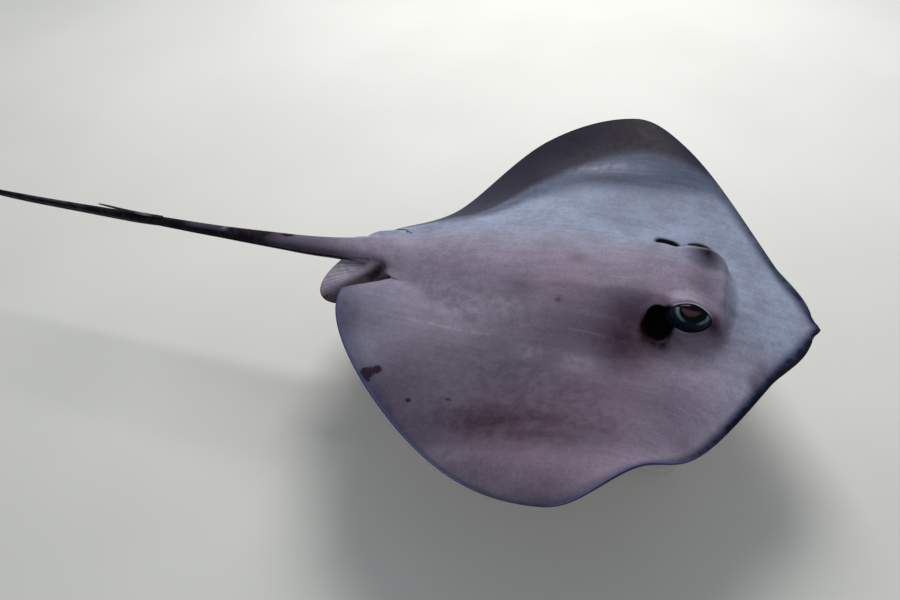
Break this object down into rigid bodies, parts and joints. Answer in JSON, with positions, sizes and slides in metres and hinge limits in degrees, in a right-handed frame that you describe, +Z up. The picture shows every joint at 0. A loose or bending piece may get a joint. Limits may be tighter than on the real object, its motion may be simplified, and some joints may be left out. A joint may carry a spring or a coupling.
{
  "type": "southern stingray model",
  "caption": "Life-size still model of a southern stingray gliding with raised and curled fins, a long whip tail with a sting, on a plain display stand.",
  "frame": {"origin": "on the floor, at the middle of the underside of the stand's base", "axes": "-Y towards the animal's snout and +Y along its tail, +X to its left, +Z up"},
  "size_m": [0.7828, 1.7275, 0.2689],
  "materials": {
    "skin": "smooth wet skin, purple-grey above and pale below",
    "eye": "wet gloss, dark pupil in a pale blue-grey iris",
    "sting": "dull toothed blade, like bone with a dark skin",
    "stand_paint": "satin powder coat",
    "stand_steel": "satin"
  },
  "bodies": {
    "root": {"head": "skin", "trunk": "skin", "pectoral_fin_left": "skin", "pectoral_fin_right": "skin", "pelvic_fin_left": "skin", "pelvic_fin_right": "skin", "tail_base": "skin", "tail_middle": "skin", "tail_whip": "skin", "tail_fold_front": "skin", "tail_fold_rear": "skin", "eye_left": "eye", "eye_right": "eye", "sting": "sting", "stand_base": "stand_paint", "stand_rod_front": "stand_steel", "stand_rod_rear": "stand_steel", "stand_collar_front": "stand_steel", "stand_collar_rear": "stand_steel"}
  },
  "joints": []
}
